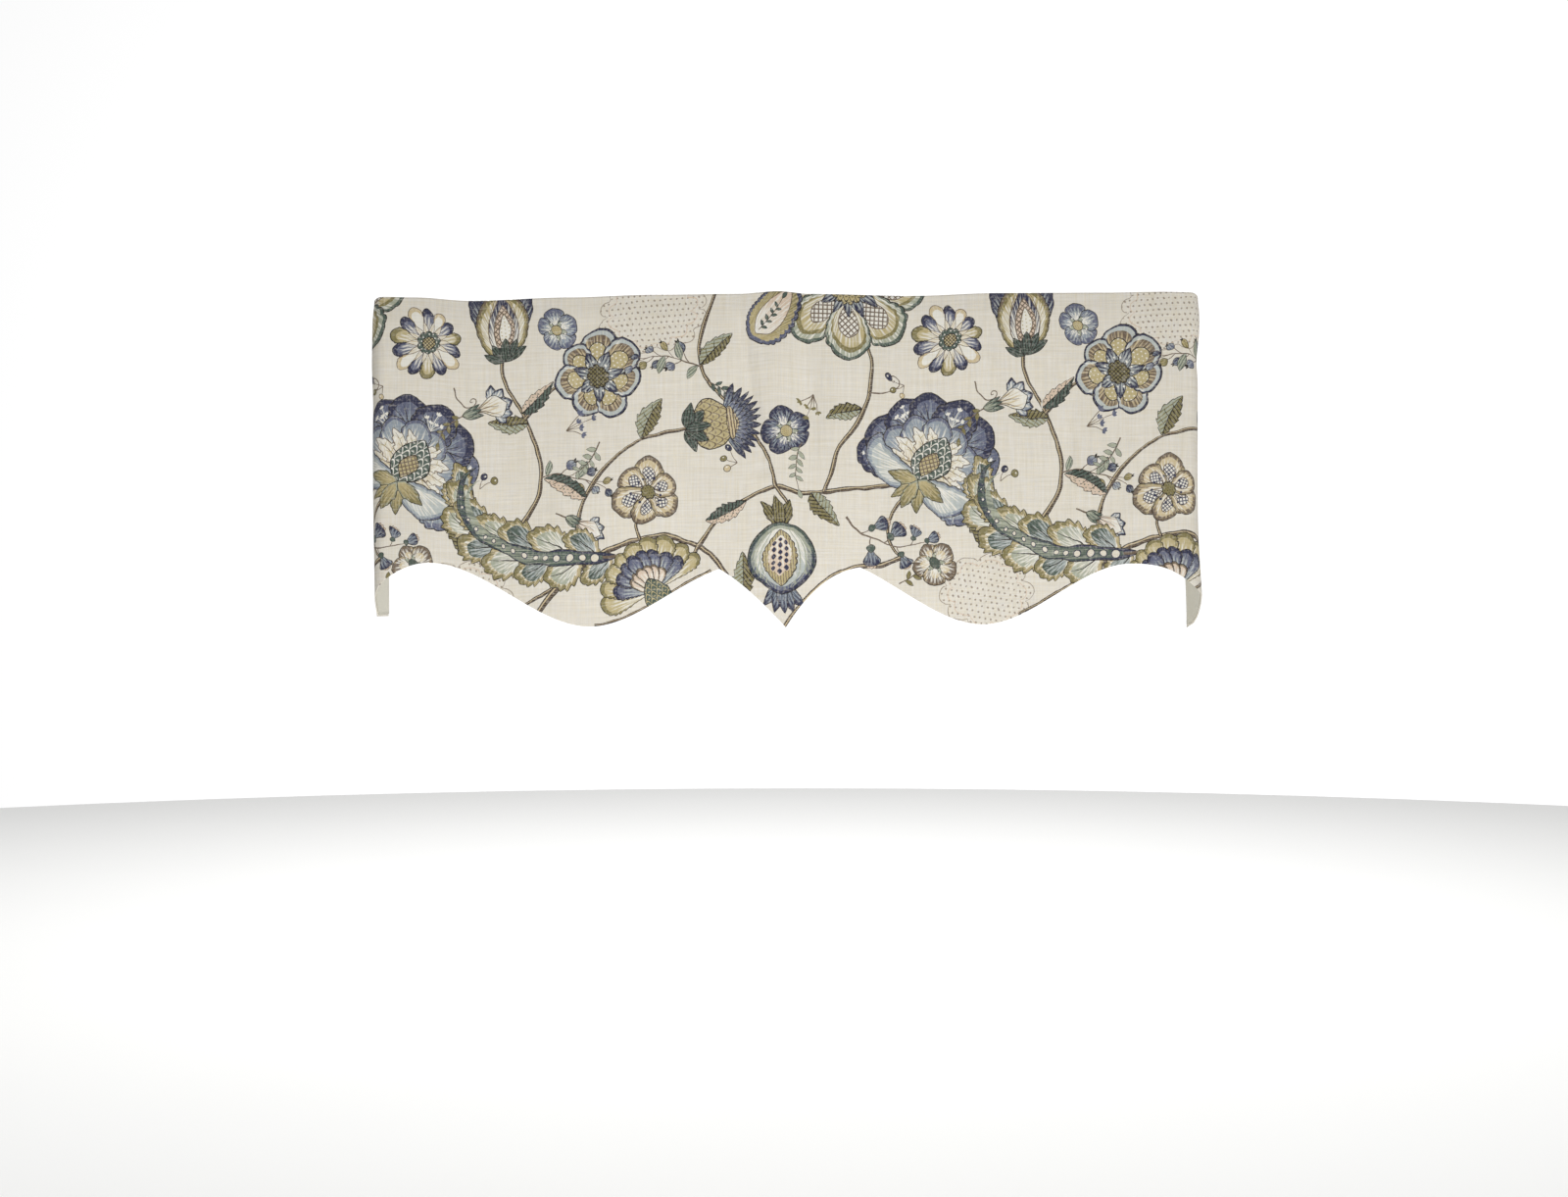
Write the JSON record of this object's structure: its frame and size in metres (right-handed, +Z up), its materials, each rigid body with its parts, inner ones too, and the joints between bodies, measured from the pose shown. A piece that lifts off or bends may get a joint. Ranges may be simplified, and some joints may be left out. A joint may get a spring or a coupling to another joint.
{
  "type": "window valance",
  "caption": "Shaped, lined window valance with short returns to the wall, a scalloped lower edge with a centre point and a floral print.",
  "frame": {"origin": "middle of the top edge, in the middle of the folded top's thickness, where the hidden rod holds the cloth", "axes": "+X along the front to its right, +Z up, the front faces -Y and the returns run back along +Y"},
  "size_m": [1.0889, 0.0946, 0.443],
  "materials": {
    "printed_cloth": "cream linen-look furnishing cloth with a slubby plain weave, printed with a crewel-style floral in navy, blue-grey, olive, tan and brown",
    "lining_cloth": "plain grey-cream cotton sateen lining, matt"
  },
  "bodies": {
    "root": {"face_cloth": "printed_cloth", "lining": "lining_cloth"}
  },
  "joints": []
}
